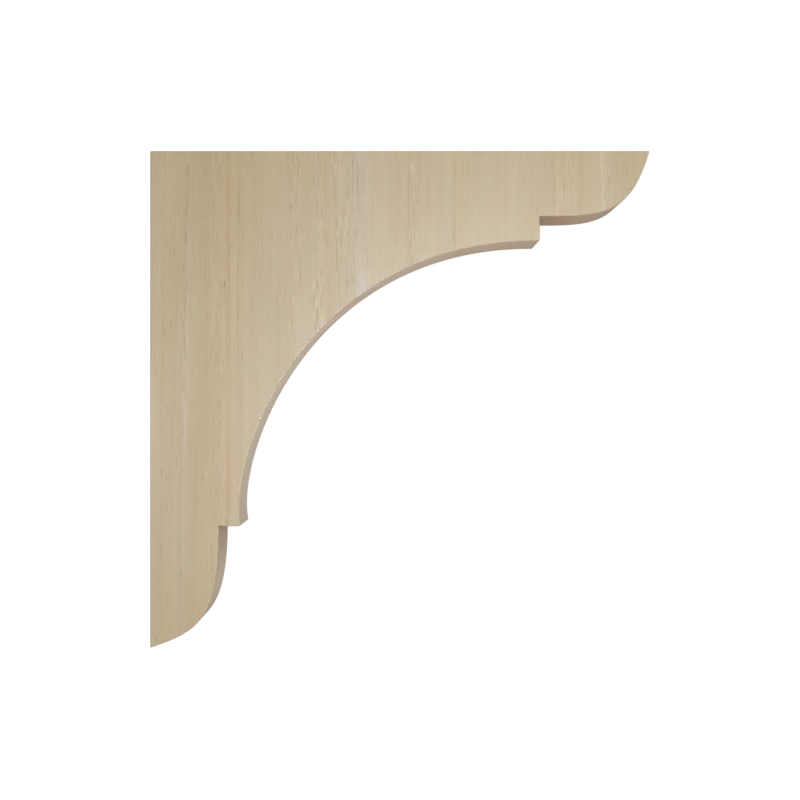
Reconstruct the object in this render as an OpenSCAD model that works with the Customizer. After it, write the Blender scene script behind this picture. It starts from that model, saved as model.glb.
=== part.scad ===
// A wooden corbel bracket of the knee-brace kind, sawn from one thick board.
// Its wall edge stands upright against a wall, and its top edge carries a shelf.
// A concave sweep runs from the bottom arm to the top arm, and each arm ends in
// a convex lobe that stands back from the sweep by a square step.
// +X points away from the wall and +Z points up. The origin is the middle of
// the wall edge, so the board's thickness lies half on each side of it.

/* [Board] */
// Reach of the top edge, from the wall to the outer tip
reach = 304.8; // [220:0.1:420]
// Height of the wall edge, from the top edge down to the lower tip
drop = 303.3; // [220:0.1:420]
// Thickness of the board
board_t = 44.45; // [12:0.05:120]

/* [Top arm] */
// Length of the lobe along the top edge, from the outer tip to the step
top_lobe_len = 67; // [30:0.5:90]
// Depth of the lobe at the step, below the top edge
top_lobe_depth = 39.8; // [20:0.1:60]
// Drop of the square step, from the lobe down to the end of the sweep
top_step = 14.9; // [4:0.1:30]
// Slope of the lobe's underside where it leaves the step
top_lobe_start = 0; // [-5:0.5:10]
// Slope of the lobe at the outer tip, where it meets the top edge
top_lobe_end = 73.5; // [60:0.1:88]

/* [Bottom arm] */
// Length of the lobe along the wall edge, from the lower tip to the step
bottom_lobe_len = 74.3; // [30:0.5:90]
// Width of the lobe at the step, out from the wall edge
bottom_lobe_width = 41.7; // [20:0.1:60]
// Width of the square step, from the lobe out to the start of the sweep
bottom_step = 13.3; // [4:0.1:30]
// Slope of the lobe's outer side where it leaves the step
bottom_lobe_start = 0; // [-5:0.5:10]
// Slope of the lobe at the lower tip, where it meets the wall edge
bottom_lobe_end = 70.7; // [60:0.1:88]

/* [Sweep] */
// Angle by which the sweep leans back to the wall as it leaves the bottom arm
sweep_lean = 11.7; // [0:0.1:15]
// Slope of the sweep where it runs out level under the top arm
sweep_run_out = -0.3; // [-2:0.1:5]

/* [Hidden] */

// Flats that stand for the sweep and for each lobe
sweep_flats = 64;
lobe_flats = 32;

// How far each curve holds the slope of each of its ends, as a share of the
// distance that it covers in that direction
sweep_hold_low = 0.242;
sweep_hold_high = 0.785;
top_hold_step = 0.59;
top_hold_tip = 1.045;
bottom_hold_step = 0.8;
bottom_hold_tip = 0.72;

// Heights of the two ends of the board, with the origin halfway between them
top_z = drop / 2;
foot_z = -drop / 2;

// Corners of the outline
outer_tip = [reach, top_z];
lower_tip = [0, foot_z];
top_step_x = reach - top_lobe_len;
bottom_step_z = foot_z + bottom_lobe_len;
sweep_high_end = [top_step_x, top_z - top_lobe_depth - top_step];
sweep_low_end = [bottom_lobe_width + bottom_step, bottom_step_z];
top_lobe_root = [top_step_x, top_z - top_lobe_depth];
bottom_lobe_root = [bottom_lobe_width, bottom_step_z];

// A step of a given length in the direction of an angle
function toward(angle, length) = length * [cos(angle), sin(angle)];

// A point of the cubic curve through a and d that is drawn towards b and c
function curve_point(a, b, c, d, t) =
    pow(1 - t, 3) * a
    + 3 * pow(1 - t, 2) * t * b
    + 3 * (1 - t) * pow(t, 2) * c
    + pow(t, 3) * d;

// The points of that curve, with its start and without its end
function curve(a, b, c, d, flats) =
    [for (i = [0 : flats - 1]) curve_point(a, b, c, d, i / flats)];

// From the lower tip up the outside of the bottom lobe to its step
function bottom_lobe() =
    let (run = bottom_lobe_width, rise = bottom_lobe_len)
    curve(
        lower_tip,
        lower_tip + toward(90 - bottom_lobe_end, bottom_hold_tip * run),
        bottom_lobe_root - toward(90 - bottom_lobe_start, bottom_hold_step * rise),
        bottom_lobe_root,
        lobe_flats
    );

// From the bottom arm's step round the sweep to the top arm's step
function sweep() =
    let (
        run = sweep_high_end.x - sweep_low_end.x,
        rise = sweep_high_end.y - sweep_low_end.y
    )
    curve(
        sweep_low_end,
        sweep_low_end + toward(90 + sweep_lean, sweep_hold_low * rise),
        sweep_high_end - toward(sweep_run_out, sweep_hold_high * run),
        sweep_high_end,
        sweep_flats
    );

// From the top arm's step out under the top lobe to the outer tip
function top_lobe() =
    let (run = top_lobe_len, rise = top_lobe_depth)
    curve(
        top_lobe_root,
        top_lobe_root + toward(top_lobe_start, top_hold_step * run),
        outer_tip - toward(top_lobe_end, top_hold_tip * rise),
        outer_tip,
        lobe_flats
    );

// Side view of the board, drawn with its height along Y
module outline() {
    polygon(concat(
        bottom_lobe(),
        [bottom_lobe_root],
        sweep(),
        [sweep_high_end],
        top_lobe(),
        [outer_tip, [0, top_z]]
    ));
}

// The board, stood upright with its thickness across Y
module corbel() {
    color([0.79, 0.72, 0.60])
        rotate([90, 0, 0])
            linear_extrude(board_t, center = true)
                outline();
}

corbel();
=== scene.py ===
"""A wooden corbel bracket: the sawn board, its figure and finish, its light and its camera.

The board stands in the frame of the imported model. +X points away from the wall, +Y goes
through the board's thickness and +Z points up. The origin is the middle of the wall edge.
All sizes are in metres and all angles in degrees, unless a name says otherwise.
"""

from __future__ import annotations

import logging
import math
from dataclasses import dataclass, field
from enum import Enum

import bmesh
import bpy
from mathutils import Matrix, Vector


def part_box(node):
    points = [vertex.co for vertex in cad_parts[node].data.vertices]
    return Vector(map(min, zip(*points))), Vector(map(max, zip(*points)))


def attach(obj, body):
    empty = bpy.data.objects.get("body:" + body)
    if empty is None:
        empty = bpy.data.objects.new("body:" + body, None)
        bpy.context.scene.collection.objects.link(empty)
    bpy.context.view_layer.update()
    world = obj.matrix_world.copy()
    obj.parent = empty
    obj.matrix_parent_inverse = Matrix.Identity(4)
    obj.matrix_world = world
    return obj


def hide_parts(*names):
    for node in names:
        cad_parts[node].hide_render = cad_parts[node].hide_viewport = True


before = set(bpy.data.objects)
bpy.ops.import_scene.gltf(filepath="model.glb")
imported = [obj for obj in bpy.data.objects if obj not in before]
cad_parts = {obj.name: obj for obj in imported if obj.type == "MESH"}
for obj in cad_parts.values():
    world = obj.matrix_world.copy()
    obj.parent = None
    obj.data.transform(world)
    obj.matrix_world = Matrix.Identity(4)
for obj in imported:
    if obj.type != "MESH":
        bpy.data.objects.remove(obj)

log = logging.getLogger("corbel")

Socket = bpy.types.NodeSocket
Colour = tuple[float, float, float]
Place = tuple[float, float, float]
Corner = tuple[float, float]
Pair = tuple[float, float]

MM = 0.001
HALF = 0.5
WHITE: Colour = (1.0, 1.0, 1.0)

# Headings, turned up from +X
OUTWARD = 0.0
UPWARD = 90.0

# Sockets of Blender's Mix node when it mixes colours
MIX_SHARE = 0
MIX_UNDER = 6
MIX_OVER = 7
MIX_RESULT = 2


class Sum(Enum):
    """The sums that a shader's Math node can do here."""

    ADD = "ADD"
    SUBTRACT = "SUBTRACT"
    MULTIPLY = "MULTIPLY"
    DIVIDE = "DIVIDE"
    ROOT = "SQRT"
    ABSOLUTE = "ABSOLUTE"
    EXPONENT = "EXPONENT"
    LESS = "LESS_THAN"


class Stain(Enum):
    """How one colour is laid over another."""

    COVER = "MIX"
    DYE = "MULTIPLY"


# ---------------------------------------------------------------------------
# Shader workbench
# ---------------------------------------------------------------------------


@dataclass(frozen=True)
class Fade:
    """An eased change from one value to another, held at both ends.

    Attributes:
        low: The reading where the change starts.
        high: The reading where the change ends.
        to_low: The result at low and before it.
        to_high: The result at high and beyond it.
    """

    low: float
    high: float
    to_low: float = 0.0
    to_high: float = 1.0


@dataclass(frozen=True)
class Pattern:
    """How fine soft noise is in each direction of the wood.

    Attributes:
        across: Features in a metre across the rings.
        through: Features in a metre through the thickness.
        along: Features in a metre up the board.
        detail: How many finer layers it has.
        rough: How strong the finer layers are.
    """

    across: float
    through: float
    along: float
    detail: float = 1.0
    rough: float = 0.5


@dataclass
class Workbench:
    """Adds shader nodes to one material and joins them up.

    Attributes:
        tree: The material's node tree.
    """

    tree: bpy.types.NodeTree

    def add(self, kind: str, **settings: object) -> bpy.types.Node:
        """Adds a node.

        Args:
            kind: The node's Blender type.
            **settings: Properties to set on it.

        Returns:
            The new node.
        """
        node = self.tree.nodes.new(kind)
        for name, value in settings.items():
            setattr(node, name, value)
        return node

    def feed(self, socket: Socket, value: object) -> None:
        """Links an output to a socket, or sets the socket to a plain value.

        Args:
            socket: The input that is fed.
            value: An output socket, a number or a tuple.
        """
        if isinstance(value, Socket):
            self.tree.links.new(value, socket)
        else:
            socket.default_value = value

    def work(self, kind: Sum, first: object, second: object = 0.0) -> Socket:
        """Does one sum.

        Args:
            kind: Which sum.
            first: The first number or output.
            second: The second number or output.

        Returns:
            The result's output.
        """
        node = self.add("ShaderNodeMath", operation=kind.value)
        self.feed(node.inputs[0], first)
        self.feed(node.inputs[1], second)
        return node.outputs[0]

    def ease(self, value: object, fade: Fade) -> Socket:
        """Eases a value from one range into another, and holds it at the ends.

        Args:
            value: The value to read.
            fade: The change that it goes through.

        Returns:
            The eased value's output.
        """
        node = self.add("ShaderNodeMapRange", interpolation_type="SMOOTHSTEP")
        settings = (value, fade.low, fade.high, fade.to_low, fade.to_high)
        for socket, setting in zip(node.inputs, settings):
            self.feed(socket, setting)
        return node.outputs[0]

    def hump(self, value: object, middle: float, reach: float) -> Socket:
        """Makes a bell that is 1 at its middle and fades on both sides.

        Args:
            value: The value to read.
            middle: Where the bell stands.
            reach: How far out it has faded to about a third.

        Returns:
            The bell's output.
        """
        away = self.work(Sum.SUBTRACT, value, middle)
        shares = self.work(Sum.DIVIDE, away, reach)
        squared = self.work(Sum.MULTIPLY, shares, shares)
        return self.work(Sum.EXPONENT, self.work(Sum.MULTIPLY, squared, -1.0))

    def place(self, x: object, y: object, z: object) -> Socket:
        """Joins three coordinates into one place.

        Args:
            x: The first coordinate.
            y: The second coordinate.
            z: The third coordinate.

        Returns:
            The place's output.
        """
        node = self.add("ShaderNodeCombineXYZ")
        for socket, value in zip(node.inputs, (x, y, z)):
            self.feed(socket, value)
        return node.outputs[0]

    def soft(self, pattern: Pattern, x: object, y: object, z: object) -> Socket:
        """Reads soft noise in the wood's own directions.

        Args:
            pattern: How fine it is in each direction.
            x: Distance across the rings.
            y: Place through the thickness.
            z: Height.

        Returns:
            A value around one half.
        """
        place = self.place(
            self.work(Sum.MULTIPLY, x, pattern.across),
            self.work(Sum.MULTIPLY, y, pattern.through),
            self.work(Sum.MULTIPLY, z, pattern.along),
        )
        node = self.add("ShaderNodeTexNoise", noise_dimensions="3D")
        self.feed(node.inputs["Vector"], place)
        self.feed(node.inputs["Scale"], 1.0)
        self.feed(node.inputs["Detail"], pattern.detail)
        self.feed(node.inputs["Roughness"], pattern.rough)
        return node.outputs[0]

    def lay(self, kind: Stain, share: object, under: object, over: object) -> Socket:
        """Lays one colour over another.

        Args:
            kind: How it is laid.
            share: How much of it, from 0 to 1.
            under: The colour beneath.
            over: The colour on top.

        Returns:
            The mixed colour's output.
        """
        node = self.add("ShaderNodeMix", data_type="RGBA", blend_type=kind.value)
        node.clamp_factor = True
        self.feed(node.inputs[MIX_SHARE], share)
        self.feed(node.inputs[MIX_UNDER], under)
        self.feed(node.inputs[MIX_OVER], over)
        return node.outputs[MIX_RESULT]


def rgba(colour: Colour) -> tuple[float, float, float, float]:
    """A colour with full cover."""
    return (*colour, 1.0)


# ---------------------------------------------------------------------------
# Wood
# ---------------------------------------------------------------------------


@dataclass(frozen=True)
class Streak:
    """A stripe of other colour that runs down the board with the grain.

    Attributes:
        offset: Distance from the wall edge on the front face, at the top.
        width: How far the stripe spreads to each side.
        dye: The colour that it multiplies the wood by.
        strength: How much of the dye shows, from 0 to 1.
        patchy: How far it comes and goes along its length, from 0 to 1.
    """

    offset: float
    width: float
    dye: Colour
    strength: float
    patchy: float = 0.5


@dataclass(frozen=True)
class PoreZone:
    """A stripe in which the open pores are many and the fibres are lively.

    Attributes:
        offset: Distance from the wall edge on the front face, at the top.
        width: How far the stripe spreads to each side.
        share: The share of possible pores that are there.
    """

    offset: float
    width: float
    share: float


@dataclass(frozen=True)
class Fleck:
    """One small mark: mostly marks in the wood, such as a long open pore or a mineral stain;
    one is a painted sheen.

    Attributes:
        offset: Distance of its middle from the wall edge on the front face.
        drop: Depth of its middle below the top edge.
        width: How far it spreads to each side.
        length: How far it spreads up and down.
        dye: The colour that it multiplies the wood by.
        strength: How much of the dye shows, from 0 to 1.
    """

    offset: float
    drop: float
    width: float
    length: float
    dye: Colour
    strength: float


@dataclass(frozen=True)
class Lean:
    """A stripe in which the grain leans from the upright.

    Attributes:
        offset: Distance of the stripe's middle from the wall edge.
        width: How far the stripe spreads to each side.
        slope: Sideways run for each unit of drop, away from the wall.
    """

    offset: float
    width: float
    slope: float


RED_BROWN: Colour = (0.93, 0.80, 0.70)
RED: Colour = (0.97, 0.81, 0.72)
GREY_VIOLET: Colour = (1.00, 1.00, 1.16)
SILVER: Colour = (1.08, 1.09, 1.27)
PALE_BLUE: Colour = (1.03, 1.08, 1.20)
PALE_GREEN: Colour = (1.02, 1.08, 1.14)
TAN: Colour = (0.86, 0.80, 0.70)
OCHRE: Colour = (1.00, 0.97, 0.86)
OLIVE: Colour = (0.88, 0.87, 0.78)
PINK: Colour = (1.04, 1.00, 1.02)
CREAM: Colour = (1.07, 1.07, 1.08)
DARK: Colour = (0.50, 0.45, 0.40)


@dataclass(frozen=True)
class PaleHardwood:
    """Planed and sanded pale hardwood with straight grain and fine open pores.

    Attributes:
        sapwood: Colour of the lightest growth.
        heartwood: Colour of the darkest growth.
        pore: Colour inside an open pore.
        end_grain: The dye that cut fibre ends take.
        step_shade: Painted shade: the dye that darkens each lobe's sawn edge beside its
            step, under the step's overhang.
        step_shade_reach: How far that painted shade spreads.
        blush: The dye of faint pinkish patches.
        blush_noise: How fine those patches are.
        blush_share: How much of that dye shows, from the noise.
        pith: Place of the tree's centre in X and Y, from which the rings spread.
        sway_noise: How fine the sideways sway of the rings is.
        sway: How far they sway from side to side.
        broad_noise: How fine the broad bands of growth are.
        broad_share: How much heartwood the broad bands hold, from the noise.
        ring: Spacing of the growth lines across the front face.
        ring_noise: How fine the growth lines are, in rings across.
        ring_share: How much heartwood the growth lines add, from the noise.
        fibre_layers: Width, length and strength of each layer of fibres.
        fibre_noise: How fine the calm and the strong patches of fibres are.
        fibre_calm: How strong the fibres are, from that noise.
        fibre_drop: How strong they are, from the distance below the top edge.
        fibre_vigour: How strong they are, from the share of pores.
        side_contrast: How strong they are, from how far a face lies across the thickness.
        pore_cell: Width of the column of wood that holds one pore.
        pore_run: Length of that column.
        pore_share: The share of possible pores that are there outside the zones.
        pore_edge: How far a pore is open, from the distance to its middle.
        pore_depth: How much of the pore colour it shows, from its own chance number.
        patch_noise: How fine the patches are in which a stripe comes and goes.
        patch_low: The noise at which a stripe is faintest.
        patch_high: The noise at which a stripe is strongest.
        end_cut: How squarely the fibres are cut, from the face's upright normal.
        side_cut: How far a face lies across the thickness, from its other normal.
        roughness: How rough the wood is, from the fibres.
        end_roughness: How much rougher the cut fibre ends are.
        gloss: How strongly the wood shines.
        fibre_relief: Height of a fibre, in pore depths.
        relief: How much of the relief shows, from 0 to 1.
        relief_depth: Depth of a pore.
        streaks: The stripes of other colour.
        pore_zones: The stripes with many pores.
        flecks: The single marks.
        leans: The stripes in which the grain isn't upright.
    """

    sapwood: Colour = (0.636, 0.556, 0.398)
    heartwood: Colour = (0.461, 0.374, 0.237)
    pore: Colour = (0.30, 0.225, 0.14)
    end_grain: Colour = (0.874, 0.77, 0.73)
    # Painted shade beside each step, laid as a dye on the lobes' sawn edges.
    step_shade: Colour = (0.82, 0.73, 0.66)
    step_shade_reach: float = 16 * MM
    blush: Colour = (1.02, 0.98, 1.0)
    blush_noise: Pattern = Pattern(150.0, 150.0, 60.0, detail=2.0)
    blush_share: Fade = Fade(0.25, 0.75)
    pith: Corner = (-0.20, 0.20)
    sway_noise: Pattern = Pattern(14.0, 14.0, 9.0)
    sway: float = 1.6 * MM
    broad_noise: Pattern = Pattern(60.0, 6.0, 9.0)
    broad_share: Fade = Fade(0.2, 0.8, 0.62, 0.38)
    ring: float = 3.4 * MM
    ring_noise: Pattern = Pattern(1.0, 6.0, 3.5, detail=2.0, rough=0.6)
    ring_share: Fade = Fade(0.2, 0.8, 0.08, -0.08)
    fibre_layers: tuple[tuple[float, float, float], ...] = (
        (1.4 * MM, 30 * MM, 0.34),
        (0.9 * MM, 13 * MM, 0.62),
        (0.6 * MM, 8 * MM, 0.98),
    )
    fibre_noise: Pattern = Pattern(60.0, 60.0, 22.0)
    fibre_calm: Fade = Fade(0.35, 0.65, 0.35, 1.0)
    fibre_drop: Fade = Fade(75 * MM, 175 * MM, 1.12, 0.60)
    fibre_vigour: Fade = Fade(0.0, 0.14, 0.60, 1.8)
    side_contrast: Fade = Fade(0.0, 1.0, 1.0, 2.0)
    pore_cell: float = 0.85 * MM
    pore_run: float = 9 * MM
    pore_share: float = 0.006
    pore_edge: Fade = Fade(0.48, 0.10)
    pore_depth: Fade = Fade(0.0, 1.0, 0.12, 0.54)
    patch_noise: Pattern = Pattern(7.3, 20.0, 24.0, detail=2.0)
    patch_low: float = 0.35
    patch_high: float = 0.65
    end_cut: Fade = Fade(0.1, 0.9)
    side_cut: Fade = Fade(0.6, 0.2)
    roughness: Fade = Fade(-0.1, 0.1, 0.56, 0.70)
    end_roughness: float = 0.12
    gloss: float = 0.35
    fibre_relief: float = 1.2
    relief: float = 0.35
    relief_depth: float = 0.12 * MM
    streaks: tuple[Streak, ...] = (
        Streak(1.5 * MM, 3.5 * MM, PALE_BLUE, 0.55, 0.4),
        Streak(24.9 * MM, 1.6 * MM, SILVER, 0.85, 0.7),
        Streak(32 * MM, 6.0 * MM, TAN, 0.26, 0.5),
        Streak(44 * MM, 11 * MM, OCHRE, 0.42, 0.4),
        Streak(48.4 * MM, 1.3 * MM, RED_BROWN, 0.48, 0.6),
        Streak(54.2 * MM, 0.45 * MM, TAN, 0.60, 0.5),
        Streak(56.0 * MM, 1.5 * MM, OCHRE, 0.50, 0.6),
        Streak(56.5 * MM, 1.2 * MM, TAN, 0.20, 0.3),
        Streak(63.0 * MM, 1.6 * MM, TAN, 0.20, 0.3),
        Streak(77.7 * MM, 1.6 * MM, TAN, 0.20, 0.3),
        Streak(90 * MM, 22.0 * MM, PALE_BLUE, 0.12, 0.2),
        Streak(90.5 * MM, 5.0 * MM, CREAM, 0.55, 0.2),
        Streak(106.5 * MM, 2.2 * MM, RED_BROWN, 0.40, 0.6),
        Streak(112.4 * MM, 0.4 * MM, OLIVE, 0.55, 0.8),
        Streak(119 * MM, 5.0 * MM, PALE_GREEN, 0.42, 0.3),
        Streak(125.5 * MM, 2.2 * MM, PALE_BLUE, 0.85, 0.3),
        Streak(126.0 * MM, 0.4 * MM, OLIVE, 0.50, 0.8),
        Streak(128.8 * MM, 1.8 * MM, PALE_BLUE, 0.70, 0.3),
        Streak(132.0 * MM, 1.7 * MM, PALE_BLUE, 0.66, 0.3),
        Streak(134.1 * MM, 0.3 * MM, OLIVE, 0.50, 0.6),
        Streak(135.6 * MM, 0.3 * MM, RED_BROWN, 0.60, 0.6),
        Streak(157.8 * MM, 0.3 * MM, OLIVE, 0.45, 0.6),
        Streak(157.0 * MM, 5.0 * MM, CREAM, 0.50, 0.2),
        Streak(161.0 * MM, 0.3 * MM, OLIVE, 0.40, 0.9),
        Streak(184.5 * MM, 2.2 * MM, OLIVE, 0.24, 0.3),
        Streak(186.0 * MM, 0.3 * MM, OLIVE, 0.80, 0.3),
        Streak(189 * MM, 2.0 * MM, OCHRE, 0.60, 0.4),
        Streak(196.0 * MM, 2.2 * MM, OLIVE, 0.22, 0.3),
        Streak(210 * MM, 0.4 * MM, PINK, 0.80, 0.8),
        Streak(246.2 * MM, 0.7 * MM, RED_BROWN, 0.38, 0.5),
        Streak(248.6 * MM, 0.9 * MM, PINK, 0.80, 0.3),
        Streak(250.5 * MM, 0.8 * MM, PINK, 0.70, 0.3),
        Streak(260 * MM, 12.0 * MM, OCHRE, 0.35, 0.3),
        Streak(276.4 * MM, 1.3 * MM, SILVER, 0.60, 0.5),
    )
    pore_zones: tuple[PoreZone, ...] = (
        PoreZone(10 * MM, 8.0 * MM, 0.030),
        PoreZone(23.2 * MM, 0.7 * MM, 0.85),
        PoreZone(43 * MM, 8.0 * MM, 0.10),
        PoreZone(88 * MM, 3.0 * MM, 0.16),
        PoreZone(101 * MM, 3.0 * MM, 0.18),
        PoreZone(111.6 * MM, 0.6 * MM, 0.40),
        PoreZone(120 * MM, 6.0 * MM, 0.26),
        PoreZone(131 * MM, 3.0 * MM, 0.10),
        PoreZone(159.5 * MM, 1.6 * MM, 0.10),
        PoreZone(253 * MM, 8.0 * MM, 0.03),
        PoreZone(276 * MM, 2.0 * MM, 0.09),
    )
    flecks: tuple[Fleck, ...] = (
        Fleck(23.6 * MM, 18 * MM, 0.35 * MM, 3.0 * MM, DARK, 0.30),
        Fleck(23.5 * MM, 33 * MM, 0.35 * MM, 4.5 * MM, DARK, 0.36),
        Fleck(23.0 * MM, 53 * MM, 0.40 * MM, 3.5 * MM, DARK, 0.55),
        Fleck(21.8 * MM, 72 * MM, 0.35 * MM, 2.5 * MM, DARK, 0.45),
        Fleck(17.6 * MM, 37 * MM, 0.35 * MM, 2.0 * MM, DARK, 0.30),
        Fleck(39.0 * MM, 36 * MM, 0.35 * MM, 13 * MM, DARK, 0.24),
        Fleck(46.1 * MM, 81 * MM, 0.45 * MM, 2.0 * MM, DARK, 0.60),
        Fleck(48.0 * MM, 28 * MM, 0.80 * MM, 6.0 * MM, RED, 0.45),
        Fleck(54.5 * MM, 36 * MM, 0.60 * MM, 11.0 * MM, RED, 1.0),
        Fleck(53.6 * MM, 71 * MM, 0.35 * MM, 5.0 * MM, DARK, 0.30),
        Fleck(53.9 * MM, 91 * MM, 0.60 * MM, 16 * MM, RED, 0.75),
        Fleck(85.3 * MM, 35 * MM, 0.35 * MM, 3.0 * MM, DARK, 0.40),
        Fleck(89.8 * MM, 63 * MM, 0.35 * MM, 3.0 * MM, DARK, 0.35),
        Fleck(91.3 * MM, 74 * MM, 0.35 * MM, 8.0 * MM, DARK, 0.42),
        Fleck(100.6 * MM, 35 * MM, 0.35 * MM, 3.0 * MM, DARK, 0.40),
        Fleck(103.6 * MM, 37 * MM, 0.35 * MM, 2.5 * MM, DARK, 0.35),
        Fleck(105.6 * MM, 22 * MM, 0.90 * MM, 6.0 * MM, RED, 0.30),
        Fleck(105.0 * MM, 52 * MM, 1.50 * MM, 5.0 * MM, RED, 0.40),
        Fleck(103.1 * MM, 74 * MM, 0.45 * MM, 2.5 * MM, DARK, 0.40),
        Fleck(111.3 * MM, 24 * MM, 0.30 * MM, 12 * MM, DARK, 0.32),
        Fleck(114.6 * MM, 54 * MM, 0.35 * MM, 4.0 * MM, DARK, 0.45),
        Fleck(117.6 * MM, 79 * MM, 0.40 * MM, 9.0 * MM, DARK, 0.45),
        Fleck(119.8 * MM, 26 * MM, 0.35 * MM, 3.5 * MM, DARK, 0.45),
        Fleck(122.8 * MM, 23 * MM, 0.35 * MM, 3.0 * MM, DARK, 0.30),
        Fleck(124.0 * MM, 50 * MM, 0.35 * MM, 4.0 * MM, DARK, 0.40),
        Fleck(126.0 * MM, 22 * MM, 0.35 * MM, 11 * MM, DARK, 0.35),
        Fleck(132.0 * MM, 62 * MM, 0.30 * MM, 5.0 * MM, DARK, 0.25),
        Fleck(144.8 * MM, 62 * MM, 0.50 * MM, 7.0 * MM, OLIVE, 0.50),
        Fleck(157.7 * MM, 28 * MM, 0.30 * MM, 13 * MM, DARK, 0.42),
        Fleck(161.0 * MM, 40 * MM, 0.30 * MM, 14 * MM, DARK, 0.30),
        Fleck(179.4 * MM, 50 * MM, 1.60 * MM, 7.0 * MM, GREY_VIOLET, 0.90),
        Fleck(184.9 * MM, 50 * MM, 0.40 * MM, 7.0 * MM, OLIVE, 0.70),
        Fleck(227.7 * MM, 18 * MM, 1.30 * MM, 8.0 * MM, OLIVE, 0.35),
        Fleck(247.0 * MM, 20 * MM, 0.80 * MM, 4.0 * MM, RED, 0.45),
        Fleck(246.6 * MM, 32 * MM, 0.40 * MM, 2.5 * MM, DARK, 0.32),
        Fleck(252.8 * MM, 21 * MM, 0.45 * MM, 3.5 * MM, DARK, 0.42),
        Fleck(280.0 * MM, 18 * MM, 0.90 * MM, 3.0 * MM, OLIVE, 0.50),
        Fleck(290.5 * MM, 11 * MM, 0.90 * MM, 4.0 * MM, TAN, 0.60),
        Fleck(13.6 * MM, 198 * MM, 0.45 * MM, 5.0 * MM, DARK, 0.30),
        Fleck(28.2 * MM, 182 * MM, 0.70 * MM, 2.5 * MM, RED, 0.60),
        Fleck(27.8 * MM, 205 * MM, 2.00 * MM, 8.0 * MM, RED, 0.16),
        Fleck(49.6 * MM, 195 * MM, 1.60 * MM, 22 * MM, RED, 0.30),
        Fleck(12.1 * MM, 274 * MM, 0.90 * MM, 5.0 * MM, TAN, 0.50),
        Fleck(3.0 * MM, 158 * MM, 10.0 * MM, 55 * MM, CREAM, 0.80),
        # Painted sheen: a bluish-white lightening of the face near the arch's edge, laid
        # over the pale blue streak there.
        Fleck(128.5 * MM, 84 * MM, 4.00 * MM, 13 * MM, PALE_BLUE, 0.70),
    )
    leans: tuple[Lean, ...] = (
        Lean(24 * MM, 12 * MM, -0.018),
        Lean(50 * MM, 40 * MM, -0.004),
        Lean(114 * MM, 16 * MM, 0.035),
        Lean(142 * MM, 16 * MM, 0.012),
    )

    def make(self, low: Vector, high: Vector, step_shade_places: list[Vector]) -> bpy.types.Material:
        """Makes the material.

        Args:
            low: The board's lowest corner.
            high: The board's highest corner.
            step_shade_places: The places in X and Z where shade beside each step is painted
                into the colour.

        Returns:
            The finished material.
        """
        material = bpy.data.materials.new("pale_hardwood")
        material.use_nodes = True
        bench = Workbench(material.node_tree)
        bench.tree.nodes.clear()
        where = bench.add("ShaderNodeTexCoord")
        split = bench.add("ShaderNodeSeparateXYZ")
        bench.feed(split.inputs[0], where.outputs["Object"])
        x, y, z = split.outputs
        drop = bench.work(Sum.SUBTRACT, high.z, z)
        across = self._across(bench, x, y, z, drop, low)
        cut, side = self._cut_faces(bench)
        lively = self._lively(bench, across)
        fibres = self._fibres(bench, across, y, z, drop, lively)
        fibres = bench.work(Sum.MULTIPLY, fibres, bench.ease(side, self.side_contrast))
        pores = self._pores(bench, across, y, z, lively)
        colour = self._colour(bench, across, y, z, drop, fibres)
        colour = bench.lay(Stain.COVER, pores, colour, rgba(self.pore))
        colour = bench.lay(Stain.DYE, cut, colour, rgba(self.end_grain))
        # Painted shade: each lobe's sawn edge is darkened beside its step, where the step
        # overhangs it.
        for step_shade_place in step_shade_places:
            near = bench.work(
                Sum.MULTIPLY,
                bench.hump(x, step_shade_place.x, self.step_shade_reach),
                bench.hump(z, step_shade_place.y, self.step_shade_reach),
            )
            share = bench.work(Sum.MULTIPLY, near, side)
            colour = bench.lay(Stain.DYE, share, colour, rgba(self.step_shade))
        self._finish(bench, colour, fibres, pores, cut)
        return material

    def _across(
        self,
        bench: Workbench,
        x: Socket,
        y: Socket,
        z: Socket,
        drop: Socket,
        low: Vector,
    ) -> Socket:
        """Finds which growth ring a point is in.

        Args:
            bench: The workbench.
            x: Distance from the wall.
            y: Place through the thickness.
            z: Height.
            drop: Distance below the top edge.
            low: The board's lowest corner.

        Returns:
            The distance from the wall at which that ring meets the top of the front face.
        """
        for lean in self.leans:
            there = bench.hump(x, lean.offset, lean.width)
            run = bench.work(Sum.MULTIPLY, bench.work(Sum.MULTIPLY, drop, lean.slope), there)
            x = bench.work(Sum.SUBTRACT, x, run)
        pith_x, pith_y = self.pith
        from_pith = bench.work(Sum.SUBTRACT, x, pith_x)
        behind = bench.work(Sum.SUBTRACT, y, pith_y)
        radius = bench.work(
            Sum.ADD,
            bench.work(Sum.MULTIPLY, from_pith, from_pith),
            bench.work(Sum.MULTIPLY, behind, behind),
        )
        face = (low.y - pith_y) ** 2
        along = bench.work(Sum.ROOT, bench.work(Sum.SUBTRACT, radius, face))
        ring = bench.work(Sum.ADD, along, pith_x)
        wave = bench.work(Sum.SUBTRACT, bench.soft(self.sway_noise, x, y, z), HALF)
        return bench.work(Sum.ADD, ring, bench.work(Sum.MULTIPLY, wave, self.sway))

    def _lively(self, bench: Workbench, across: Socket) -> Socket:
        """Finds the share of possible pores that are there, which the fibres follow too.

        Args:
            bench: The workbench.
            across: The growth ring that a point is in.

        Returns:
            The share's output.
        """
        share: Socket | float = self.pore_share
        for zone in self.pore_zones:
            there = bench.hump(across, zone.offset, zone.width)
            share = bench.work(Sum.ADD, bench.work(Sum.MULTIPLY, there, zone.share), share)
        return share

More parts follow.
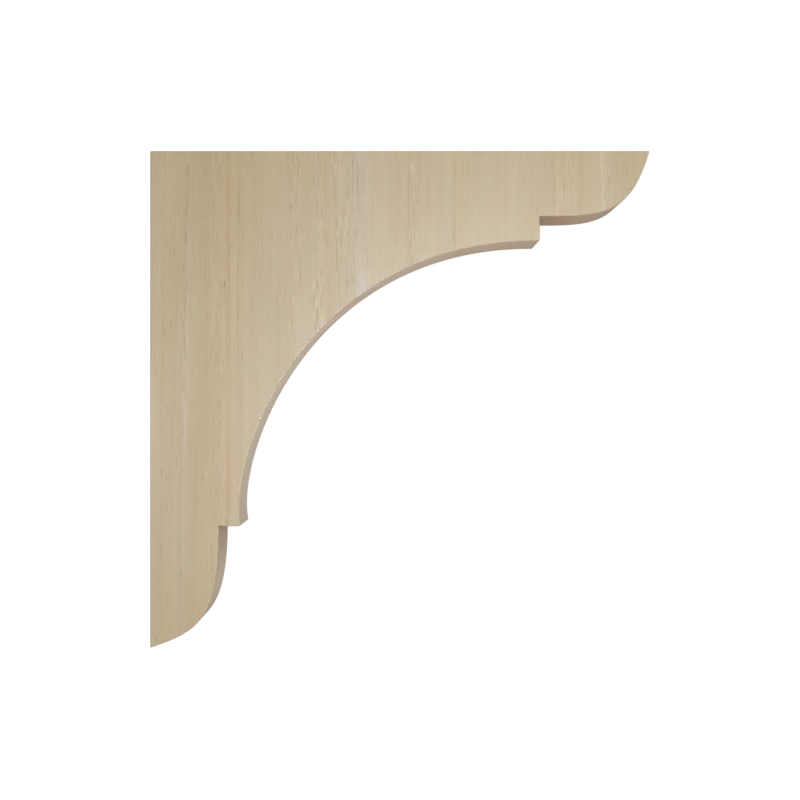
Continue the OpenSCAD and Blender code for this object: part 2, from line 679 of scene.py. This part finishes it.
    def _fibres(
        self,
        bench: Workbench,
        across: Socket,
        y: Socket,
        z: Socket,
        drop: Socket,
        lively: Socket,
    ) -> Socket:
        """Reads the fibres: long soft streaks, and short fine ones between them.

        Args:
            bench: The workbench.
            across: The growth ring that a point is in.
            y: Place through the thickness.
            z: Height.
            drop: Distance below the top edge.
            lively: The share of pores, which the fibres follow.

        Returns:
            How light the fibres are here, around nought.
        """
        patch = bench.soft(self.fibre_noise, across, y, z)
        calm = bench.work(
            Sum.MULTIPLY,
            bench.ease(patch, self.fibre_calm),
            bench.ease(drop, self.fibre_drop),
        )
        vigour = bench.work(Sum.MULTIPLY, bench.ease(lively, self.fibre_vigour), calm)
        total: Socket | float = 0.0
        for wide, long, weight in self.fibre_layers:
            layer = bench.soft(Pattern(1 / wide, 1 / wide, 1 / long), across, y, z)
            layer = bench.work(Sum.MULTIPLY, bench.work(Sum.SUBTRACT, layer, HALF), weight)
            total = bench.work(Sum.ADD, total, layer)
        return bench.work(Sum.MULTIPLY, total, vigour)

    def _pores(
        self,
        bench: Workbench,
        across: Socket,
        y: Socket,
        z: Socket,
        lively: Socket,
    ) -> Socket:
        """Sets out the open pores, as short dark dashes that lie along the grain.

        Args:
            bench: The workbench.
            across: The growth ring that a point is in.
            y: Place through the thickness.
            z: Height.
            lively: The share of possible pores that are there.

        Returns:
            How much of the pore colour shows, from 0 to 1.
        """
        cells = bench.add("ShaderNodeTexVoronoi", voronoi_dimensions="3D", feature="F1")
        place = bench.place(
            bench.work(Sum.DIVIDE, across, self.pore_cell),
            bench.work(Sum.DIVIDE, y, self.pore_cell),
            bench.work(Sum.DIVIDE, z, self.pore_run),
        )
        bench.feed(cells.inputs["Vector"], place)
        bench.feed(cells.inputs["Scale"], 1.0)
        chance = bench.add("ShaderNodeSeparateColor")
        bench.feed(chance.inputs[0], cells.outputs["Color"])
        there = bench.work(Sum.LESS, chance.outputs[0], lively)
        inside = bench.ease(cells.outputs["Distance"], self.pore_edge)
        depth = bench.ease(chance.outputs[1], self.pore_depth)
        return bench.work(Sum.MULTIPLY, bench.work(Sum.MULTIPLY, there, inside), depth)

    def _colour(
        self,
        bench: Workbench,
        across: Socket,
        y: Socket,
        z: Socket,
        drop: Socket,
        fibres: Socket,
    ) -> Socket:
        """Lays the growth, the fibres, the streaks and the flecks over one another.

        Args:
            bench: The workbench.
            across: The growth ring that a point is in.
            y: Place through the thickness.
            z: Height.
            drop: Distance below the top edge.
            fibres: How light the fibres are here, around nought.

        Returns:
            The wood's colour before the pores and the cut ends.
        """
        broad = bench.soft(self.broad_noise, across, y, z)
        rings = bench.work(Sum.DIVIDE, across, self.ring)
        lines = bench.soft(self.ring_noise, rings, y, z)
        growth = bench.work(
            Sum.ADD,
            bench.ease(broad, self.broad_share),
            bench.ease(lines, self.ring_share),
        )
        growth = bench.work(Sum.SUBTRACT, growth, fibres)
        colour = bench.lay(Stain.COVER, growth, rgba(self.sapwood), rgba(self.heartwood))
        blush = bench.ease(bench.soft(self.blush_noise, across, y, z), self.blush_share)
        colour = bench.lay(Stain.DYE, blush, colour, rgba(self.blush))
        for number, streak in enumerate(self.streaks):
            there = bench.hump(across, streak.offset, streak.width)
            patch = bench.soft(self.patch_noise, float(number), y, z)
            faintest = 1.0 - streak.patchy
            held = bench.ease(patch, Fade(self.patch_low, self.patch_high, faintest))
            share = bench.work(Sum.MULTIPLY, there, held)
            share = bench.work(Sum.MULTIPLY, share, streak.strength)
            colour = bench.lay(Stain.DYE, share, colour, rgba(streak.dye))
        for fleck in self.flecks:
            there = bench.work(
                Sum.MULTIPLY,
                bench.hump(across, fleck.offset, fleck.width),
                bench.hump(drop, fleck.drop, fleck.length),
            )
            share = bench.work(Sum.MULTIPLY, there, fleck.strength)
            colour = bench.lay(Stain.DYE, share, colour, rgba(fleck.dye))
        return colour

    def _cut_faces(self, bench: Workbench) -> tuple[Socket, Socket]:
        """Finds the faces that the saw cut.

        Args:
            bench: The workbench.

        Returns:
            How squarely the fibres are cut, and whether the face lies across the thickness.
        """
        surface = bench.add("ShaderNodeNewGeometry")
        split = bench.add("ShaderNodeSeparateXYZ")
        bench.feed(split.inputs[0], surface.outputs["Normal"])
        _, through, upright = split.outputs
        ends = bench.ease(bench.work(Sum.ABSOLUTE, upright), self.end_cut)
        sides = bench.ease(bench.work(Sum.ABSOLUTE, through), self.side_cut)
        return ends, sides

    def _finish(
        self,
        bench: Workbench,
        colour: Socket,
        fibres: Socket,
        pores: Socket,
        cut: Socket,
    ) -> None:
        """Joins colour, sheen and relief to the surface.

        Args:
            bench: The workbench.
            colour: The wood's colour.
            fibres: How light the fibres are here, around nought.
            pores: How much of the pore colour shows.
            cut: How squarely the fibres are cut.
        """
        surface = bench.add("ShaderNodeBsdfPrincipled")
        bench.feed(surface.inputs["Base Color"], colour)
        bench.feed(surface.inputs["Specular IOR Level"], self.gloss)
        rough = bench.work(
            Sum.ADD,
            bench.ease(fibres, self.roughness),
            bench.work(Sum.MULTIPLY, cut, self.end_roughness),
        )
        bench.feed(surface.inputs["Roughness"], rough)
        fibre_height = bench.work(Sum.MULTIPLY, fibres, self.fibre_relief)
        height = bench.work(Sum.SUBTRACT, fibre_height, pores)
        bump = bench.add("ShaderNodeBump")
        bench.feed(bump.inputs["Strength"], self.relief)
        bench.feed(bump.inputs["Distance"], self.relief_depth)
        bench.feed(bump.inputs["Height"], height)
        bench.feed(surface.inputs["Normal"], bump.outputs[0])
        output = bench.add("ShaderNodeOutputMaterial")
        bench.feed(output.inputs["Surface"], surface.outputs[0])


# ---------------------------------------------------------------------------
# Board
# ---------------------------------------------------------------------------


@dataclass(frozen=True)
class SawLine:
    """A smooth saw cut from one corner of the outline to another.

    Attributes:
        start: The corner where it begins, in X and Z.
        end: The corner where it ends.
        start_heading: Its direction at the start, turned up from +X.
        end_heading: Its direction at the end.
        start_hold: How far it holds its first direction.
        end_hold: How far it holds its last direction.
        cuts: How many straight pieces stand for it.
    """

    start: Corner
    end: Corner
    start_heading: float
    end_heading: float
    start_hold: float
    end_hold: float
    cuts: int

    def corners(self) -> list[Vector]:
        """Works out the points of the cubic curve that the saw follows.

        Returns:
            The points along the cut, from just after its start to its end.
        """
        first, last = Vector(self.start), Vector(self.end)
        after = first + self.start_hold * heading(self.start_heading)
        before = last - self.end_hold * heading(self.end_heading)
        found = []
        for number in range(1, self.cuts + 1):
            t = number / self.cuts
            s = 1 - t
            found.append(
                s**3 * first + 3 * s * s * t * after + 3 * s * t * t * before + t**3 * last
            )
        return found


def heading(angle: float) -> Vector:
    """Turns an angle into a step.

    Args:
        angle: The angle, turned up from +X.

    Returns:
        A step of one metre in that direction, in X and Z.
    """
    turned = math.radians(angle)
    return Vector((math.cos(turned), math.sin(turned)))


@dataclass
class CorbelBoard:
    """The sawn board, from its outline to its eased arrises.

    Attributes:
        low: Its lowest corner.
        high: Its highest corner.
        top_lobe_len: Length of the top arm's lobe, from the tip to the step.
        top_lobe_depth: Depth of that lobe at the step.
        top_step: Drop of the step to the end of the sweep.
        bottom_lobe_len: Length of the bottom arm's lobe, from the tip to the step.
        bottom_lobe_width: Width of that lobe at the step.
        bottom_step: Width of the step to the start of the sweep.
        top_tip_heading: Direction of the top lobe's outline at the tip.
        bottom_tip_heading: Direction of the bottom lobe's outline at the tip.
        sweep_start_heading: Direction of the sweep as it leaves the bottom arm.
        sweep_end_heading: Direction of the sweep as it meets the top arm.
        sweep_holds: Shares of its rise and run over which the sweep holds its ends.
        top_holds: The same for the top lobe, of its length and depth.
        bottom_holds: The same for the bottom lobe, of its width and length.
        lobe_cuts: How many straight pieces stand for a lobe's curve.
        sweep_cuts: How many stand for the sweep.
        step_shade_offset: How far beyond each inside corner the painted shade on the lobe
            has its middle.
        ease: How far the sandpaper took back each arris.
        ease_rows: Rows of faces across an eased arris.
        smooth_below: Edges that turn by less than this are smooth to the eye.
        weld: Points closer together than this are one point.
        piece: The finished piece, once it is built.
    """

    low: Vector
    high: Vector
    top_lobe_len: float = 67 * MM
    top_lobe_depth: float = 39.8 * MM
    top_step: float = 14.9 * MM
    bottom_lobe_len: float = 74.3 * MM
    bottom_lobe_width: float = 41.7 * MM
    bottom_step: float = 13.3 * MM
    top_tip_heading: float = 73.5
    bottom_tip_heading: float = 19.3
    sweep_start_heading: float = 101.7
    sweep_end_heading: float = -0.3
    sweep_holds: Pair = (0.242, 0.785)
    top_holds: Pair = (0.59, 1.045)
    bottom_holds: Pair = (0.72, 0.8)
    lobe_cuts: int = 48
    sweep_cuts: int = 112
    step_shade_offset: float = 10 * MM
    ease: float = 0.7 * MM
    ease_rows: int = 4
    smooth_below: float = 40.0
    weld: float = 0.01 * MM
    piece: bpy.types.Object | None = field(default=None, init=False)

    def inside_corners(self) -> list[Vector]:
        """Finds where each lobe meets its step.

        Returns:
            The two inside corners in X and Z, the lower one first.
        """
        low, high = self.low, self.high
        return [
            Vector((low.x + self.bottom_lobe_width, low.z + self.bottom_lobe_len)),
            Vector((high.x - self.top_lobe_len, high.z - self.top_lobe_depth)),
        ]

    def step_shade_places(self) -> list[Vector]:
        """Finds where painted shade darkens each lobe beside its step.

        Returns:
            The places in X and Z, one on each lobe.
        """
        root_low, root_high = self.inside_corners()
        return [
            root_low - Vector((0, self.step_shade_offset)),
            root_high + Vector((self.step_shade_offset, 0)),
        ]

    def outline(self) -> list[Vector]:
        """Draws the two lobes, the sweep between them and the straight edges.

        Returns:
            The outline's corners in X and Z, once round from the lower tip.
        """
        low, high = self.low, self.high
        lower_tip = (low.x, low.z)
        outer_tip = (high.x, high.z)
        root_low, root_high = self.inside_corners()
        sweep_low = (root_low.x + self.bottom_step, root_low.y)
        sweep_high = (root_high.x, root_high.y - self.top_step)
        run = sweep_high[0] - sweep_low[0]
        rise = sweep_high[1] - sweep_low[1]
        bottom_lobe = SawLine(
            start=lower_tip,
            end=root_low[:],
            start_heading=self.bottom_tip_heading,
            end_heading=UPWARD,
            start_hold=self.bottom_holds[0] * self.bottom_lobe_width,
            end_hold=self.bottom_holds[1] * self.bottom_lobe_len,
            cuts=self.lobe_cuts,
        )
        sweep = SawLine(
            start=sweep_low,
            end=sweep_high,
            start_heading=self.sweep_start_heading,
            end_heading=self.sweep_end_heading,
            start_hold=self.sweep_holds[0] * rise,
            end_hold=self.sweep_holds[1] * run,
            cuts=self.sweep_cuts,
        )
        top_lobe = SawLine(
            start=root_high[:],
            end=outer_tip,
            start_heading=OUTWARD,
            end_heading=self.top_tip_heading,
            start_hold=self.top_holds[0] * self.top_lobe_len,
            end_hold=self.top_holds[1] * self.top_lobe_depth,
            cuts=self.lobe_cuts,
        )
        return [
            Vector(lower_tip),
            *bottom_lobe.corners(),
            Vector(sweep_low),
            *sweep.corners(),
            root_high,
            *top_lobe.corners(),
            Vector((low.x, high.z)),
        ]

    def build(self) -> bpy.types.Object:
        """Saws the outline, gives the board its thickness and eases its arrises.

        Returns:
            The finished piece.
        """
        corners = self.outline()
        self.piece = self._scribe(corners)
        thickness = self.high.y - self.low.y
        bpy.ops.mesh.edge_face_add()
        bpy.ops.mesh.extrude_region_move(TRANSFORM_OT_translate={"value": (0, thickness, 0)})
        bpy.ops.mesh.select_all(action="SELECT")
        bpy.ops.mesh.normals_make_consistent(inside=False)
        self._sand()
        bpy.ops.object.mode_set(mode="OBJECT")
        bpy.ops.object.shade_smooth_by_angle(angle=math.radians(self.smooth_below))
        bpy.ops.object.modifier_add(type="WEIGHTED_NORMAL")
        weighted = self.piece.modifiers[-1]
        weighted.keep_sharp = True
        bpy.ops.object.modifier_apply(modifier=weighted.name)
        return self.piece

    def _scribe(self, corners: list[Vector]) -> bpy.types.Object:
        """Draws the outline on the front face as one closed chain of edges.

        Args:
            corners: The outline's corners, once round.

        Returns:
            The piece, in edit mode, with the whole chain selected.
        """
        start = corners[0]
        deselect_all()
        bpy.ops.mesh.primitive_plane_add(size=MM)
        piece = bpy.context.active_object
        piece.name = "corbel_board"
        bpy.ops.object.mode_set(mode="EDIT")
        bpy.ops.mesh.select_mode(type="VERT")
        bpy.ops.mesh.select_all(action="SELECT")
        bpy.ops.mesh.merge(type="CENTER")
        bpy.ops.transform.translate(value=(start.x, self.low.y, start.y))
        for here, there in zip(corners, [*corners[1:], start]):
            step = there - here
            bpy.ops.mesh.extrude_region_move(
                TRANSFORM_OT_translate={"value": (step.x, 0, step.y)}
            )
        bpy.ops.mesh.select_all(action="SELECT")
        bpy.ops.mesh.remove_doubles(threshold=self.weld)
        bpy.ops.mesh.select_all(action="SELECT")
        return piece

    def _sand(self) -> None:
        """Eases the arrises: both outlines, and the outer corners across the thickness."""
        shape = bmesh.from_edit_mesh(self.piece.data)
        bpy.ops.mesh.select_mode(type="EDGE")
        bpy.ops.mesh.select_all(action="DESELECT")
        for edge in shape.edges:
            first, last = (corner.co for corner in edge.verts)
            across = abs(first.y - last.y) > self.ease
            edge.select_set(not across or self._is_outer_corner(edge))
        bmesh.update_edit_mesh(self.piece.data)
        bpy.ops.mesh.bevel(
            offset_type="OFFSET",
            offset=self.ease,
            segments=self.ease_rows,
            profile=HALF,
            affect="EDGES",
            clamp_overlap=True,
        )

    def _is_outer_corner(self, edge: bmesh.types.BMEdge) -> bool:
        """Whether an edge stands out and is sharper than the curves."""
        return edge.is_convex and edge.calc_face_angle() > math.radians(self.smooth_below)


# ---------------------------------------------------------------------------
# Studio
# ---------------------------------------------------------------------------


@dataclass(frozen=True)
class SoftBox:
    """A square lamp with a white cloth in front of it.

    Attributes:
        name: Its name.
        place: Where it stands.
        aim: The point that it faces.
        side: Length of its sides.
        power: Its power in watts.
        tint: Its colour.
    """

    name: str
    place: Place
    aim: Place
    side: float
    power: float
    tint: Colour = WHITE

    def hang(self) -> bpy.types.Object:
        """Puts the lamp in the studio.

        Returns:
            The lamp.
        """
        deselect_all()
        bpy.ops.object.light_add(type="AREA", location=self.place)
        lamp = bpy.context.active_object
        lamp.name = self.name
        toward = Vector(self.aim) - Vector(self.place)
        lamp.rotation_euler = toward.to_track_quat("-Z", "Y").to_euler()
        lamp.data.shape = "SQUARE"
        lamp.data.size = self.side
        lamp.data.energy = self.power
        lamp.data.color = self.tint
        lamp.visible_camera = False
        return lamp


@dataclass
class Studio:
    """White surroundings, soft lamps and a pale floor that the bracket hangs above.

    Attributes:
        floor_middle: Middle of the floor.
        floor_radius: Radius of the floor.
        floor_sides: How many straight pieces its rim has.
        floor_colour: Colour of the floor.
        floor_roughness: How matt its paint is.
        air: How brightly the surroundings light the board from all round.
        air_tint: Their colour.
        lamps: The lamps.
    """

    floor_middle: Place = (0.15, 0.0, -0.46)
    floor_radius: float = 0.50
    floor_sides: int = 96
    floor_colour: Colour = (0.82, 0.82, 0.81)
    floor_roughness: float = 0.9
    air: float = 0.38
    air_tint: Colour = (1.0, 0.88, 0.80)
    lamps: tuple[SoftBox, ...] = (
        SoftBox(
            "front_lamp",
            place=(0.15, -1.70, 0.0), aim=(0.15, 0.0, 0.0),
            side=1.1, power=10.1, tint=(1.0, 0.97, 0.79),
        ),
        SoftBox(
            "side_lamp",
            place=(0.75, -0.62, 0.62), aim=(0.10, 0.0, 0.0),
            side=0.4, power=1.35, tint=(1.0, 0.98, 0.92),
        ),
        SoftBox(
            "arch_lamp",
            place=(0.215, -0.197, -0.045), aim=(0.215, 0.0, -0.045),
            side=0.06, power=0.43, tint=(0.59, 0.714, 1.0),
        ),
        SoftBox(
            "sweep_lamp",
            place=(0.168, 0.0, -0.018), aim=(0.105, 0.0, 0.045),
            side=0.04, power=0.022, tint=(0.68, 0.83, 1.0),
        ),
        SoftBox(
            "backdrop_lamp",
            place=(0.35, 1.60, -0.15), aim=(0.15, 0.0, 0.0),
            side=1.6, power=4.8, tint=(0.82, 0.92, 1.0),
        ),
        SoftBox(
            "back_lamp",
            place=(-0.35, 0.75, 0.85), aim=(0.15, 0.0, 0.0),
            side=0.8, power=10.0,
        ),
    )

    def build(self) -> None:
        """Lays the floor, hangs the lamps and lights the surroundings."""
        self._floor()
        for lamp in self.lamps:
            lamp.hang()
            log.info("%s: %.3g W", lamp.name, lamp.power)
        self._surroundings()
        bpy.context.scene.view_settings.view_transform = "Standard"

    def _floor(self) -> None:
        """Lays a round pale floor."""
        deselect_all()
        bpy.ops.mesh.primitive_circle_add(
            vertices=self.floor_sides,
            radius=self.floor_radius,
            fill_type="NGON",
            location=self.floor_middle,
        )
        floor = bpy.context.active_object
        floor.name = "floor"
        bpy.ops.object.transform_apply(location=True, rotation=True, scale=True)
        material = bpy.data.materials.new("floor_paint")
        material.use_nodes = True
        paint = material.node_tree.nodes["Principled BSDF"]
        paint.inputs["Base Color"].default_value = rgba(self.floor_colour)
        paint.inputs["Roughness"].default_value = self.floor_roughness
        floor.data.materials.append(material)

    def _surroundings(self) -> None:
        """Makes the world white to look at, and dimmer as a light on the board."""
        world = bpy.data.worlds.new("white_surroundings")
        bpy.context.scene.world = world
        world.use_nodes = True
        bench = Workbench(world.node_tree)
        bench.tree.nodes.clear()
        light = bench.add("ShaderNodeBackground")
        bench.feed(light.inputs["Color"], rgba(self.air_tint))
        bench.feed(light.inputs["Strength"], self.air)
        seen = bench.add("ShaderNodeBackground")
        bench.feed(seen.inputs["Color"], rgba(WHITE))
        bench.feed(seen.inputs["Strength"], 1.0)
        path = bench.add("ShaderNodeLightPath")
        either = bench.add("ShaderNodeMixShader")
        bench.feed(either.inputs[0], path.outputs["Is Camera Ray"])
        bench.feed(either.inputs[1], light.outputs[0])
        bench.feed(either.inputs[2], seen.outputs[0])
        output = bench.add("ShaderNodeOutputWorld")
        bench.feed(output.inputs["Surface"], either.outputs[0])


@dataclass(frozen=True)
class Viewpoint:
    """A camera square on to the middle of the board's front face.

    Attributes:
        distance: From the lens to the front face.
        lens: Focal length in millimetres.
        sensor: Width of the sensor in millimetres.
        tilt: How far it is tipped up from looking straight down.
        off_middle: How far it stands to the right of the board's middle, and above it.
    """

    distance: float = 0.7942
    lens: float = 58.58
    sensor: float = 36.0
    tilt: float = 90.0
    off_middle: Pair = (0.1 * MM, -0.3 * MM)

    def set_up(self, low: Vector, high: Vector) -> bpy.types.Object:
        """Puts up the camera.

        Args:
            low: The board's lowest corner.
            high: The board's highest corner.

        Returns:
            The camera.
        """
        deselect_all()
        middle = (low + high) / 2
        right, up = self.off_middle
        bpy.ops.object.camera_add(
            location=(middle.x + right, low.y - self.distance, middle.z + up),
            rotation=(math.radians(self.tilt), 0, 0),
        )
        camera = bpy.context.active_object
        camera.name = "camera"
        camera.data.lens = self.lens
        camera.data.sensor_width = self.sensor
        bpy.context.scene.camera = camera
        return camera


def deselect_all() -> None:
    """Leaves nothing selected, so that the next operator acts on its own piece."""
    bpy.ops.object.select_all(action="DESELECT")


def main() -> None:
    """Builds the bracket, its light and its camera."""
    logging.basicConfig(level=logging.INFO, format="%(name)s: %(message)s")
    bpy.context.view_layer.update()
    low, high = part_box("corbel")

    sawn = CorbelBoard(low, high)
    board = sawn.build()
    board.data.materials.append(PaleHardwood().make(low, high, sawn.step_shade_places()))
    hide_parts("corbel")
    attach(board, "root")
    mesh = board.data
    log.info("%s: %d corners, %d faces", board.name, len(mesh.vertices), len(mesh.polygons))

    Studio().build()
    Viewpoint().set_up(low, high)


if __name__ == "__main__":
    main()
